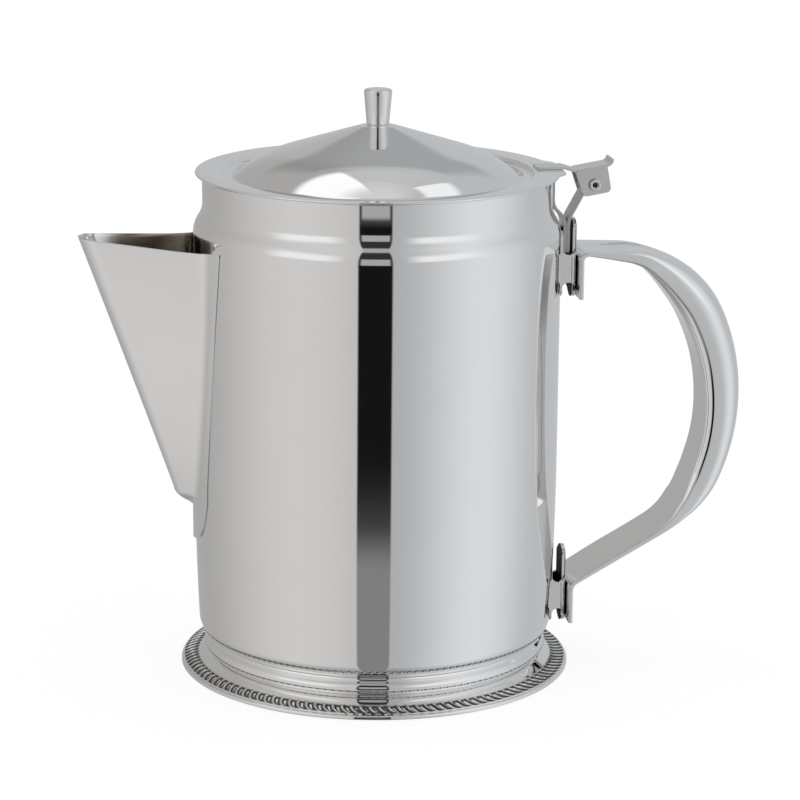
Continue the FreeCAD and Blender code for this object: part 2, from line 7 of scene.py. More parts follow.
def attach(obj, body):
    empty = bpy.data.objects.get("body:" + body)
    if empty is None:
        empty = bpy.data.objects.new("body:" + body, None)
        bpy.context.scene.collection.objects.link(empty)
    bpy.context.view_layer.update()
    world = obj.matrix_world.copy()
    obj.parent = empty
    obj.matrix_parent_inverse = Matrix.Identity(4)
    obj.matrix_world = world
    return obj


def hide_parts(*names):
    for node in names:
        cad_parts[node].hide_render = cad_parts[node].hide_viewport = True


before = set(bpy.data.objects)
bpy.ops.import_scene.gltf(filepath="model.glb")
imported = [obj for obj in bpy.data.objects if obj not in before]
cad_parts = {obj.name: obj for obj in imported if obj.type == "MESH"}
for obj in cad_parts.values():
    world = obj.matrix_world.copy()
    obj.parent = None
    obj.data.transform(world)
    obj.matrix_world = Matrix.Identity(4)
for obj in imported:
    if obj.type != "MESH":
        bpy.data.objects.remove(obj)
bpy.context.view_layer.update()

MM = 0.001

# Sizes in millimetres and angles in degrees, as in the part's source
# but for the handle's grip, the nose and flange of the spout, and the border
body_radius = 63.5
neck_radius = 60.3
low_radius = 62.1
foot_height = 10.6
corner_radius = 7.0
taper_z = 76.0
shoulder_z = 154.1
shoulder_height = 10.5
rim_z = 174.2
body_sheet = 0.8
inside_bottom_z = 20.0

border_inner = 62.2
border_outer = 67.75
base_radius = 68.5
border_top_z = 2.9
border_low_z = 1.8
bead_x = 57.6
bead_radius = 2.7
bead_top_angle = 54
bead_low_angle = -80
base_sheet = 0.9
base_seat_radius = 46.0
base_gap = 0.05
base_seam_angle = -62
seam_dip_x = 0.12
seam_dip_z = 0.1
under_bead = (58.55, 5.0)
flange_top = (59.2, 4.65)
flange_middle = (60.8, 3.72)
flange_end_lift = 0.15
border_seat = 0.2
border_edge = 0.5
rim_roll_radius = 0.7
rim_roll_z = 0.75
rim_chamfer = 0.3
rim_underside = ((66.4, 0.0), (66.2, 0.9))
flange_underside = ((border_inner - 0.3, 1.9), (58.2, 4.2), (bead_x, 4.3))
lobe_count = 126
scoop_lean = 1.0
scoop_curl = 1.2
scoop_depth = 0.7
scoop_sink = 0.3
scoop_roundness = 1.6
scoop_end_height = 0.75
scoop_opening = (0.0, 0.25)
scoop_closing = (0.72, 1.0)
border_sheet = 0.5

lid_top_z = 175.3
lid_sheet = 0.8
lid_flange_radius = 62.7
lid_gutter_outer = 54.0
lid_gutter_inner = 48.4
lid_gutter_depth = 1.9
lid_cone_radius = 33.0
lid_cone_rise = 7.4
lid_apex_radius = 5.2
lid_apex_round = 1.6
lid_apex_sag = 0.25
lid_shoulder_share = 0.55
lid_gutter_lip = 0.6
lid_gutter_edge = ((-0.1, -0.08), (0.3, 0.0))
apex_z = 191.3
lid_tab_reach = 64.2
lid_tab_half_width = 16.0
lid_tab_corner = 7.0
lid_tab_depth = 1.0

knob_top_z = 203.5
knob_base_radius = 3.9
knob_top_radius = 4.85
knob_edge_radius = 0.9
knob_edge_turn = 84
knob_chamfer = 0.35
knob_top_rings = (2.6, 1.2)

spout_sheet = 0.8
spout_tip_x = 103.0
spout_tip_z = 154.2
spout_root_z = 150.8
spout_tip_radius = 8.4
spout_tip_angle = 19.3
spout_foot_x = 71.0
spout_foot_z = 65.0
spout_foot_drop = 6.6
spout_foot_tuck = 10.5
spout_foot_radius = 6.0
spout_foot_angle = 45.5
spout_bend_radius = 6.0
spout_root_x = 0.6 * body_radius
spout_section_step = 3
spout_tuck_power = 0.75
spout_flange_top = 26.5
spout_flange_low = 17.0
spout_flange_low_z = 68.0
spout_flange_end_z = 46.5
spout_flange_round = 2.4
spout_flange_thin = 0.3
spout_flange_start = 0.15
spout_flange_lift = 1.4
spout_flange_lift_span = (16.0, 28.5)
spout_flange_lift_power = 8
spout_edge_bevel = 0.22
strainer_hole_radius = 2.6
strainer_pitch = 9.5
strainer_rows = 7
strainer_low_z = 74.0

handle_sheet = 1.5
handle_end_width = 24.0
handle_grip_width = 21.5
grip_thickness = 14.8
# Lengths from the upper bend, each with the handle's thickness there, fitted to the photograph's outline
tube_thickness = (
    (0.0, 1.5), (8.0, 2.9), (20.0, 5.6), (28.0, 9.2), (36.0, 11.9), (44.0, 13.6),
    (56.0, 14.7), (66.0, 14.8), (88.0, 14.3), (112.0, 12.9), (124.0, 12.0), (132.0, 10.5),
    (140.0, 7.1), (146.0, 3.8), (152.0, 2.4), (176.0, 2.0), (186.0, 1.5))
grip_crown = 1.8
grip_corner = 3.6
crown_corner = 7.5
flat_corner = 0.4
crown_steps = 10
handle_edge_bevel = 0.25
dent_x = 90.0
dent_tail = 15.5
dent_tail_power = 1.3
dent_head = 10.5
dent_half_width = 6.6
dent_depth = 1.0
dent_edge_power = 0.55
dent_span = 40.0
handle_top_z = 147.4
handle_straight = 14.2
handle_bends = ((40.0, 65.3), (73.0, 49.0), (27.4, 36.2))
upper_tab_x = 69.3
lower_tab_x = 67.9
tab_bend_radius = 3.2
upper_tab_length = 13.5
lower_tab_length = 11.8
upper_bracket_middle = 66.4
lower_bracket_middle = 65.6

hinge_x = 75.2
hinge_z = 169.8
rivet_bevel = 0.25
rivet_rim = 0.4
rivet_dimple = 0.5
rivet_dimple_taper = 0.7
rivet_end = 0.02

# Light tent: the spout's wall is a little warm and the handle's a little cool, each with a pool of light.
# Walls, pools and panels are placed in degrees round from behind, positive on the spout's side; boxes, shade
# and the roof's change in degrees to either side of the gap's middle. Heights are sines of the elevation.
spout_wall_level = 0.43
handle_wall_level = 0.56
wall_change_front = (-208, -138)
wall_change_back = (-8, 12)
spout_pool_middle = 122
spout_pool_spread = 92
handle_pool_middle = -118
handle_pool_spread = 55
pool_gain = 0.25
warm_tint = (1.011, 1.0, 0.989, 1)
cool_tint = (0.969, 1.0, 1.031, 1)
white_tint = (1.0, 1.0, 1.0, 1)
roof_cool_tint = (0.985, 1.0, 1.015, 1)

box_colour = (0.95, 0.95, 0.95, 1)
box_sides = (16, 34, 56, 78)
box_heights = (0.02, 0.2, 0.36, 0.6)
shade_colour = (0.1, 0.1, 0.1, 1)
shade_share = 0.33
shade_side = (148, 160)
shade_heights = (0.44, 0.54, 0.72, 0.78)

roof_heights = (0.79, 0.84)
roof_front_level = 0.38
roof_back_level = 0.60
top_heights = (0.93, 0.95)
top_front_level = 0.40
top_back_level = 0.66
roof_change = (50, 180)
spout_panel_sides = (6, 9, 65, 68)
spout_panel_level = 1.15
handle_panel_sides = (-83, -80, -47, -44)
handle_panel_level = 1.0
zenith_heights = (0.95, 1.0)
zenith_colour = (0.72, 0.72, 0.73, 1)
low_level = 0.55
low_heights = (-0.95, -0.55)

# Gap that the camera looks in through, in degrees from the front. Above its floor come a shaded edge,
# black cloth, a dim stretch, a hood and the roof: where each starts, where it is full, and its level.
gap_middle = -8.8
gap_half = 10.6
gap_edge = 0.7
gap_floor_level = 0.245
gap_zones = (
    (-0.333, -0.287, 0.05), (-0.292, -0.255, 0.008), (-0.14, -0.06, 0.075),
    (0.33, 0.39, 0.035), (0.69, 0.79, 0.43))
gap_panel_side = (8.4, 9.4)
gap_panel_heights = (-0.09, -0.05, 0.32, 0.35)
gap_panel_colour = (0.42, 0.42, 0.43, 1)

# Floor and camera: places in metres, angles in degrees, lens and sensor in millimetres
floor_size = 6.0
floor_z = -0.0002
camera_place = (-0.1502, -1.0688, 0.3598)
camera_heading = -8.445
camera_tilt = 76.169
camera_roll = 0.5
camera_lens = 143.0
camera_sensor = 36.0


class Paint:
    """A socket in one node tree; sums and products of it add Math nodes."""

    def __init__(self, tree, socket):
        self.tree = tree
        self.socket = socket

    def node(self, kind, settings=None, out=0, **inputs):
        """Any node: its settings first, then values or links for its sockets, by name or by place."""
        made = self.tree.nodes.new(kind)
        for key, value in (settings or {}).items():
            setattr(made, key, value)
        for key, value in inputs.items():
            place = int(key[1:]) if key[0] == "_" else key.replace("_", " ")
            socket = made.inputs[place]
            if isinstance(value, Paint):
                self.tree.links.new(value.socket, socket)
            else:
                socket.default_value = value
        return Paint(self.tree, made.outputs[out])

    def maths(self, operation, *values):
        slots = {"_%d" % k: v for k, v in enumerate(values)}
        return self.node("ShaderNodeMath", {"operation": operation}, **slots)

    def __add__(self, other):
        return self.maths("ADD", self, other)

    def __radd__(self, other):
        return self.maths("ADD", other, self)

    def __sub__(self, other):
        return self.maths("SUBTRACT", self, other)

    def __rsub__(self, other):
        return self.maths("SUBTRACT", other, self)

    def __mul__(self, other):
        return self.maths("MULTIPLY", self, other)

    def __rmul__(self, other):
        return self.maths("MULTIPLY", other, self)

    def __truediv__(self, other):
        return self.maths("DIVIDE", self, other)

    def axes(self):
        """The three parts of a vector."""
        parts = self.node("ShaderNodeSeparateXYZ", Vector=self).socket.node.outputs
        return [Paint(self.tree, part) for part in parts]

    def noise(self, scale, detail):
        return self.node("ShaderNodeTexNoise", Vector=self, Scale=scale, Detail=detail)

    def blend(self, first, second):
        """The first colour where this is 0 and the second where it is 1."""
        settings = {"data_type": "RGBA"}
        return self.node("ShaderNodeMix", settings, out=2, _0=self, _6=first, _7=second)

    def scaled(self, level):
        """A colour made brighter or darker by a level."""
        return self.node("ShaderNodeVectorMath", {"operation": "SCALE"}, _0=self, Scale=level)

    def step(self, low, high):
        """0 below low, 1 above high, smooth between."""
        settings = {"interpolation_type": "SMOOTHSTEP"}
        return self.node("ShaderNodeMapRange", settings, _0=self, _1=low, _2=high)

    def band(self, low, low_full, high_full, high):
        """1 in the middle of a range, falling smoothly to 0 at its two ends."""
        return self.step(low, low_full) * (1.0 - self.step(high_full, high))


def new_material(name):
    """An empty material: its principled shader and a Paint on the object's own coordinates."""
    material = bpy.data.materials.new(name)
    material.use_nodes = True
    tree = material.node_tree
    shader = tree.nodes["Principled BSDF"]
    place = tree.nodes.new("ShaderNodeTexCoord")
    return material, shader, Paint(tree, place.outputs["Object"])


def link(paint, shader, name):
    """Feeds a Paint into one of a shader's sockets."""
    paint.tree.links.new(paint.socket, shader.inputs[name])


def polished_steel():
    """Mirror polish with faint wiping smears and a very slight waviness of the sheet."""
    material, shader, place = new_material("polished_steel")
    shader.inputs["Metallic"].default_value = 1.0
    smear = place.noise(55.0, 3.0)
    wave = place.noise(18.0, 1.0)
    tone = smear.blend((0.845, 0.84, 0.835, 1), (0.875, 0.87, 0.865, 1))
    link(tone, shader, "Base Color")
    link(0.015 + 0.03 * smear, shader, "Roughness")
    bump = place.node("ShaderNodeBump", Strength=0.03, Distance=0.0006, Height=wave)
    link(bump, shader, "Normal")
    return material


def brushed(name, low, high, rough, grain, strength):
    """Steel with a fine grain: its darkest and palest tone, roughness, and the grain's size on each axis."""
    material, shader, place = new_material(name)
    shader.inputs["Metallic"].default_value = 1.0
    stretched = place.node("ShaderNodeMapping", Vector=place, Scale=grain)
    brush = stretched.noise(1.0, 2.0)
    cloud = place.noise(120.0, 2.0)
    tone = (0.6 * brush + 0.4 * cloud).blend(low, high)
    link(tone, shader, "Base Color")
    link(rough + 0.08 * cloud + 0.05 * brush, shader, "Roughness")
    bump = place.node("ShaderNodeBump", Strength=strength, Distance=0.0002, Height=brush)
    link(bump, shader, "Normal")
    return material


def spout_inside_steel():
    """Inside of the spout: bright at the nose, turning dark brown towards the pot."""
    material, shader, place = new_material("spout_inside_steel")
    shader.inputs["Metallic"].default_value = 1.0
    x, _, _ = place.axes()
    cloud = place.noise(90.0, 3.0)
    toward_pot = (x + 0.006 * cloud).step(-0.095, -0.084) * (0.8 + 0.2 * cloud)
    tone = toward_pot.blend((0.84, 0.83, 0.81, 1), (0.32, 0.28, 0.235, 1))
    link(tone, shader, "Base Color")
    link(0.08 + 0.14 * cloud, shader, "Roughness")
    return material


def painted_shade_finish():
    """Painted shade for the inside of the brackets and the rivet's dimples: dark, dull and rough, where they
    lie in shade.
    """
    material, shader, place = new_material("painted_shade_finish")
    shader.inputs["Specular IOR Level"].default_value = 0.15
    cloud = place.noise(420.0, 3.0)
    tone = cloud.blend((0.018, 0.016, 0.014, 1), (0.06, 0.054, 0.047, 1))
    link(tone, shader, "Base Color")
    link(0.45 + 0.3 * cloud, shader, "Roughness")
    return material


def border_steel():
    """Polished ridges with painted shade in the hollows between them, following the slant of the border's
    scoops.
    """
    material, shader, place = new_material("border_steel")
    shader.inputs["Metallic"].default_value = 1.0
    x, y, _ = place.axes()
    cloud = place.noise(260.0, 2.0)
    r = place.maths("SQRT", x * x + y * y)
    share = (r / MM - border_inner) / (border_outer - border_inner)
    turn = place.maths("ARCTAN2", y, x) * (lobe_count / (2 * math.pi)) + 0.5
    turn = turn - scoop_lean * (share - 0.5) - scoop_curl * (share - 0.5) * (share - 0.5)
    ridge = place.maths("ABSOLUTE", 2.0 * place.maths("FRACT", turn) - 1.0)
    # Painted shade: the hollows between the ridges are coloured near black
    hollow = (1.0 - (ridge + 0.15 * cloud).step(0.62, 1.0)) * share.band(0.0, 0.12, 0.9, 1.0)
    tone = hollow.blend((0.86, 0.85, 0.84, 1), (0.10, 0.097, 0.09, 1))
    link(tone, shader, "Base Color")
    link(0.05 + 0.1 * cloud + 0.25 * hollow, shader, "Roughness")
    return material


def arc(centre, radius, first, last, steps):
    """Points on an arc round a centre, without its first point; angles in degrees."""
    points = []
    for k in range(1, steps + 1):
        turn = math.radians(first + (last - first) * k / steps)
        points.append((centre[0] + radius * math.cos(turn), centre[1] + radius * math.sin(turn)))
    return points


def three_point_arc(start, middle, end, steps):
    """Points on the arc through three points, without its first point."""
    ax, az = start
    bx, bz = middle
    cx, cz = end
    d = 2 * (ax * (bz - cz) + bx * (cz - az) + cx * (az - bz))
    a2, b2, c2 = ax * ax + az * az, bx * bx + bz * bz, cx * cx + cz * cz
    ux = (a2 * (bz - cz) + b2 * (cz - az) + c2 * (az - bz)) / d
    uz = (a2 * (cx - bx) + b2 * (ax - cx) + c2 * (bx - ax)) / d
    radius = math.hypot(ax - ux, az - uz)
    first = math.degrees(math.atan2(az - uz, ax - ux))
    half = math.degrees(math.atan2(bz - uz, bx - ux)) - first
    half = (half + 180) % 360 - 180
    last = math.degrees(math.atan2(cz - uz, cx - ux)) - first
    last = (last + 180) % 360 - 180
    if half * last < 0:
        last -= math.copysign(360, last)
    return arc((ux, uz), radius, first, first + last, steps)


def bare():
    """Selects nothing."""
    bpy.ops.object.select_all(action="DESELECT")


def pick(piece):
    """Makes a piece active and the only one selected."""
    bare()
    piece.select_set(True)
    bpy.context.view_layer.objects.active = piece


def joined(pieces):
    """Joins pieces to the first of them."""
    pick(pieces[0])
    for piece in pieces[1:]:
        piece.select_set(True)
    bpy.ops.object.join()
    return pieces[0]


def face_outwards():
    """Turns all faces outwards and leaves edit mode."""
    bpy.ops.mesh.select_all(action="SELECT")
    bpy.ops.mesh.normals_make_consistent(inside=False)
    bpy.ops.object.mode_set(mode="OBJECT")


def turned(name, outline, segments=192, closed=False):
    """A ring pulled up the outline step by step; a radius of 0 closes it at the axis."""
    bare()
    r, z = outline[0]
    bpy.ops.mesh.primitive_circle_add(vertices=segments, radius=r * MM, location=(0, 0, z * MM))
    piece = bpy.context.object
    piece.name = name
    bpy.ops.object.transform_apply()
    bpy.ops.object.mode_set(mode="EDIT")
    bpy.ops.mesh.select_mode(type="EDGE")
    bpy.ops.mesh.select_all(action="SELECT")
    for next_r, next_z in outline[1:]:
        bpy.ops.mesh.extrude_region_move(TRANSFORM_OT_translate={"value": (0, 0, (next_z - z) * MM)})
        if next_r == 0:
            bpy.ops.mesh.merge(type="CENTER")
            break
        ratio = next_r / r
        if abs(ratio - 1) > 1e-9:
            bpy.ops.transform.resize(value=(ratio, ratio, 1), center_override=(0, 0, 0))
        r, z = next_r, next_z
    bpy.ops.object.mode_set(mode="OBJECT")
    first_r, first_z = outline[0]
    if closed:
        select_edges(piece, lambda p: ring_at(p, first_r, first_z) or ring_at(p, r, z))
        bpy.ops.object.mode_set(mode="EDIT")
        bpy.ops.mesh.bridge_edge_loops()
    else:
        select_edges(piece, lambda p: ring_at(p, first_r, first_z))
        bpy.ops.object.mode_set(mode="EDIT")
        bpy.ops.mesh.extrude_region_move(TRANSFORM_OT_translate={"value": (0, 0, 0)})
        bpy.ops.mesh.merge(type="CENTER")
    face_outwards()
    return piece


def ring_at(p, r, z):
    """Whether a point lies on the level ring of a radius and height."""
    return abs(math.hypot(p.x, p.y) - r * MM) < 2e-6 and abs(p.z - z * MM) < 2e-6


def select_edges(piece, wanted):
    """Selects the edges whose two ends are wanted, and nothing else."""
    mesh = piece.data
    for polygon in mesh.polygons:
        polygon.select = False
    for edge in mesh.edges:
        edge.select = all(wanted(mesh.vertices[k].co) for k in edge.vertices)
    for vertex in mesh.vertices:
        vertex.select = False
    for edge in mesh.edges:
        if edge.select:
            for k in edge.vertices:
                mesh.vertices[k].select = True


def select_faces(piece, wanted):
    """Makes the piece active and selects the faces that are wanted by centre and normal, and nothing else."""
    pick(piece)
    bpy.context.tool_settings.mesh_select_mode = (False, False, True)
    for group in (piece.data.vertices, piece.data.edges):
        for part in group:
            part.select = False
    for polygon in piece.data.polygons:
        polygon.select = wanted(polygon.center, polygon.normal)


def smooth(piece, angle=35):
    """Smooth shading, with edges over the angle left sharp."""
    pick(piece)
    bpy.ops.object.shade_smooth_by_angle(angle=math.radians(angle))


def modify(piece, kind, **settings):
    """Adds a modifier with its settings and applies it."""
    pick(piece)
    modifier = piece.modifiers.new(kind.lower(), kind)
    for key, value in settings.items():
        setattr(modifier, key, value)
    bpy.ops.object.modifier_apply(modifier=modifier.name)


def soften(piece, width, segments, angle):
    """Bevels the edges that are sharper than an angle."""
    limit = math.radians(angle)
    modify(piece, "BEVEL", width=width * MM, segments=segments, limit_method="ANGLE", angle_limit=limit)


def finish(piece, node, body, material, angle=35, even=False):
    """Shading, finish, and the node and body that the piece stands for and moves with."""
    smooth(piece, angle)
    if even:
        modify(piece, "WEIGHTED_NORMAL", weight=100, keep_sharp=True)
    if not piece.data.materials or piece.data.materials[0] != material:
        piece.data.materials.clear()
        piece.data.materials.append(material)
    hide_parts(node)
    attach(piece, body)
    return piece


def shoulder(inset, steps=14):
    """Points of the two arcs from the wall in to the neck."""
    turn = 2 * math.atan2(body_radius - neck_radius, shoulder_height)
    radius = shoulder_height / (2 * math.sin(turn))
    turn = math.degrees(turn)
    low = arc((body_radius - radius, shoulder_z), radius - inset, 0, turn, steps)
    high = arc((neck_radius + radius, shoulder_z + shoulder_height), radius + inset, 180 + turn, 180, steps)
    return low + high


def body_outline(inset):
    """Points from the bottom up to the neck, moved inwards by the inset."""
    corner = (low_radius - corner_radius, foot_height + corner_radius)
    taper = body_radius - low_radius
    rise = taper_z - corner[1]
    reach = (taper ** 2 + rise ** 2) / (2 * taper)
    tangent = -math.degrees(math.asin(rise / reach))
    radius = reach + corner_radius
    points = [(corner[0], foot_height + inset)]
    points += arc(corner, corner_radius - inset, -90, tangent, 16)
    points += arc((body_radius - radius, taper_z), radius - inset, tangent, 0, 10)
    for k in range(1, 7):
        points.append((body_radius - inset, taper_z + (shoulder_z - taper_z) * k / 6))
    return points + shoulder(inset)


def make_pot_body():
    """Drawn can with an outer and an inner wall and a round rim."""
    outer = body_outline(0.0)
    inner = body_outline(body_sheet)
    rim_middle = (neck_radius - body_sheet / 2, rim_z - body_sheet / 2)
    rim = [(neck_radius, rim_z - 0.5 * body_sheet)] + arc(rim_middle, body_sheet / 2, 0, 180, 8)
    outline = outer + rim + inner[::-1] + [(0, foot_height + body_sheet)]
    pot = turned("pot_wall", outline)
    punch = make_punch()
    modify(pot, "BOOLEAN", operation="DIFFERENCE", solver="EXACT", object=punch)
    bpy.data.objects.remove(punch)
    return pot


def make_punch():
    """Rods through the places of the strainer's holes, behind the spout."""
    rods = []
    for row in range(strainer_rows):
        z = strainer_low_z + row * strainer_pitch
        share = (z - spout_foot_z) / (spout_root_z - spout_foot_z)
        angle = math.radians(spout_flange_low + share * (spout_flange_top - spout_flange_low))
        count = 1 + int(2 * (body_radius * math.sin(angle) - 4 * strainer_hole_radius) / strainer_pitch)
        for k in range(count):
            y = (k - (count - 1) / 2) * strainer_pitch
            bare()
            bpy.ops.mesh.primitive_cylinder_add(
                vertices=24, radius=strainer_hole_radius * MM, depth=0.5 * body_radius * MM,
                location=(-body_radius * MM, y * MM, z * MM), rotation=(0, math.pi / 2, 0))
            rods.append(bpy.context.object)
    return joined(rods)


def make_base():
    """Foot dressed up against the pot's corner, with a bead, a sloping flange and a rolled rim."""
    corner = (low_radius - corner_radius, foot_height + corner_radius)
    bead = (bead_x, foot_height - bead_radius)
    roll = (base_radius - rim_roll_radius, rim_roll_z)
    seat_z = foot_height - base_gap
    outline = [(base_seat_radius, seat_z), (corner[0], seat_z)]
    outline += arc(corner, corner_radius + base_gap, -90, base_seam_angle, 6)
    seam = outline[-1]
    bead_top = arc(bead, bead_radius, bead_top_angle, bead_top_angle, 1)[0]
    dip = (0.5 * (seam[0] + bead_top[0]) - seam_dip_x, 0.5 * (seam[1] + bead_top[1]) - seam_dip_z)
    outline += three_point_arc(seam, dip, bead_top, 5)
    outline += arc(bead, bead_radius, bead_top_angle, bead_low_angle, 20)
    outline += three_point_arc(outline[-1], under_bead, flange_top, 4)
    outline += three_point_arc(flange_top, flange_middle, (border_inner, border_top_z + flange_end_lift), 6)
    outline += [(border_inner + border_seat, border_top_z - border_seat)]
    outline += [(border_outer - border_edge, border_low_z - border_seat)]
    outline += arc(roll, rim_roll_radius, 100, 0, 6)
    outline += [(base_radius, rim_chamfer), (base_radius - rim_chamfer, 0.0)]
    outline += rim_underside + flange_underside
    outline += arc(bead, bead_radius - base_sheet, -90, 90, 12)
    outline += [(base_seat_radius, foot_height - base_sheet)]
    return turned("foot", outline, closed=True)


def lid_outline():
    """The lid's upper face from its flat top out to the flange."""
    cone_top = lid_top_z + lid_cone_rise
    cone_drop = (apex_z - cone_top) / (lid_cone_radius - lid_apex_radius)
    start = (lid_apex_radius - lid_apex_round, apex_z)
    middle = (lid_apex_radius, apex_z - lid_apex_sag * cone_drop * lid_apex_round)
    end = (lid_apex_radius + lid_apex_round, apex_z - cone_drop * lid_apex_round)
    points = [start] + three_point_arc(start, middle, end, 8)
    for k in range(1, 9):
        share = k / 8
        points.append((end[0] + share * (lid_cone_radius - end[0]), end[1] + share * (cone_top - end[1])))
    shoulder_x = lid_cone_radius + lid_shoulder_share * (lid_gutter_inner - lid_cone_radius)
    low = lid_top_z - 0.5 * lid_gutter_depth
    cone_shoulder = (shoulder_x, lid_top_z + 0.5 * lid_cone_rise)
    gutter = ((lid_gutter_inner + lid_gutter_outer) / 2, lid_top_z - lid_gutter_depth)
    points += three_point_arc(points[-1], cone_shoulder, (lid_gutter_inner, low), 18)
    points += three_point_arc(points[-1], gutter, (lid_gutter_outer - lid_gutter_lip, low), 10)
    points += [(lid_gutter_outer + x, lid_top_z + z) for x, z in lid_gutter_edge]
    return points


def make_lid():
    """Coned lid with gutter and flange, pulled out to a small tab under the hinge."""
    upper = lid_outline()
    edge = (lid_flange_radius - lid_sheet / 2, lid_top_z - lid_sheet / 2)
    rim = [(edge[0], lid_top_z)] + arc(edge, lid_sheet / 2, 90, -90, 8)
    lower = [(x, z - lid_sheet) for x, z in upper[::-1]]
    outline = upper + rim + lower + [(0, apex_z - lid_sheet)]
    lid = turned("lid_cone", outline, segments=288)
    for vertex in lid.data.vertices:
        x, y = vertex.co.x / MM, abs(vertex.co.y / MM)
        r = math.hypot(x, y)
        if x > 0 and r > lid_flange_radius - lid_tab_depth and y < lid_tab_half_width:
            over = max(0.0, y - lid_tab_half_width + lid_tab_corner)
            tab_x = lid_tab_reach - lid_tab_corner + math.sqrt(lid_tab_corner ** 2 - over ** 2)
            vertex.co.x += max(0.0, tab_x - math.sqrt(lid_flange_radius ** 2 - y * y)) * MM
    return lid


def make_knob():
    """Straight cone, wider at the top, with a rounded top edge and a flat top."""
    edge = (knob_top_radius - knob_edge_radius, knob_top_z - knob_edge_radius)
    foot = (knob_base_radius, apex_z + knob_chamfer)
    outline = [(knob_base_radius - knob_chamfer, apex_z), foot]
    for k in range(1, 11):
        share = k / 10
        r = foot[0] + share * (knob_top_radius - foot[0])
        outline.append((r, foot[1] + share * (edge[1] - foot[1])))
    outline += arc(edge, knob_edge_radius, 0, knob_edge_turn, 10)
    outline += [(r, knob_top_z) for r in knob_top_rings + (0,)]
    return turned("knob", outline, segments=96)


def handle_runs():
    """Runs of the handle's outer face: radius (none when straight), turn and length."""
    runs = [(None, 0.0, handle_straight)]
    heading = 0.0
    x = upper_tab_x + tab_bend_radius + handle_straight
    for radius, turn in handle_bends:
        angle = math.radians(turn)
        runs.append((radius, angle, radius * angle))
        x += radius * (math.sin(heading + angle) - math.sin(heading))
        heading += angle
    bend = tab_bend_radius * math.tan((heading - math.pi / 2) / 2)
    runs.append((None, 0.0, (x - lower_tab_x - handle_sheet) / -math.cos(heading) - bend))
    low_bend = heading - math.pi / 2
    runs.append((-tab_bend_radius, -low_bend, tab_bend_radius * low_bend))
    runs.append((None, 0.0, lower_tab_length))
    return runs


def handle_place(length):
    """Place and downward heading on the handle's outer face at a length from the upper bend."""
    x, z, heading = upper_tab_x + tab_bend_radius, handle_top_z, 0.0
    if length < 0:
        bend = tab_bend_radius * math.pi / 2
        angle = min(-length, bend) / tab_bend_radius
        down = max(0.0, -length - bend)
        x -= tab_bend_radius * math.sin(angle)
        z -= tab_bend_radius * (1 - math.cos(angle)) + down
        return x, z, -angle
    for radius, turn, run in handle_runs():
        part = min(length, run)
        if radius:
            angle = turn * part / run
            x += radius * (math.sin(heading + angle) - math.sin(heading))
            z -= radius * (math.cos(heading) - math.cos(heading + angle))
            heading += angle
        else:
            x += part * math.cos(heading)
            z -= part * math.sin(heading)
        length -= part
        if length <= 0:
            break
    return x, z, heading


def rise(value, low, high):
    """0 below low, 1 above high, smooth between."""
    t = min(1.0, max(0.0, (value - low) / (high - low)))
    return t * t * (3 - 2 * t)


def along(table, length):
    """Value at a length on a smooth line through a table of lengths and values."""
    if length <= table[0][0]:
        return table[0][1]
    for k in range(len(table) - 1):
        (x0, y0), (x1, y1) = table[k], table[k + 1]
        if length <= x1:
            before, after = table[max(0, k - 1)], table[min(len(table) - 1, k + 2)]
            run, t = x1 - x0, (length - x0) / (x1 - x0)
            first = run * (y1 - before[1]) / (x1 - before[0])
            last = run * (after[1] - y0) / (after[0] - x0)
            gain = y1 - y0
            curve = 3 * gain - 2 * first - last + t * (first + last - 2 * gain)
            return y0 + t * (first + t * curve)
    return table[-1][1]


def handle_opened(length):
    """How far the tube is open: 0 at its flattened ends and 1 at the grip."""
    return (along(tube_thickness, length) - handle_sheet) / (grip_thickness - handle_sheet)


def tube_half(opened):
    """Half a section, sideways and inwards, from the crown's middle to the middle of the flat inside."""
    half = (handle_end_width + opened * (handle_grip_width - handle_end_width)) / 2
    deep = handle_sheet + opened * (grip_thickness - handle_sheet)
    crown = opened * grip_crown
    r = flat_corner + opened * (grip_corner - flat_corner)
    outer = flat_corner + opened ** 2 * (crown_corner - flat_corner)
    lean = 0.0
    for _ in range(8):
        edge = half - outer * (1 - math.sin(lean))
        lean = math.atan2(2 * crown, edge)
    shares = [k / crown_steps for k in range(crown_steps + 1)]
    points = [(edge * share, crown * share ** 2) for share in shares]
    middle = (half - outer, crown + outer * math.cos(lean))
    points += arc(middle, outer, math.degrees(lean) - 90, 0, 12)
    for k in range(1, 5):
        points.append((half, middle[1] + (deep - r - middle[1]) * k / 4))
    points += arc((half - r, deep - r), r, 0, 90, 8)
    points += [((half - r) * (1 - k / 8), deep) for k in range(1, 9)]
    return points


def thumb_dent(x, y):
    """Depth of the pressed hollow on the upper arm: pointed towards the pot, round at the far end."""
    on_tail = x < dent_x
    reach = (x - dent_x) / (-dent_tail if on_tail else dent_head)
    far = reach ** (dent_tail_power if on_tail else 2.0) + (y / dent_half_width) ** 2
    return dent_depth * max(0.0, 1 - far) ** dent_edge_power


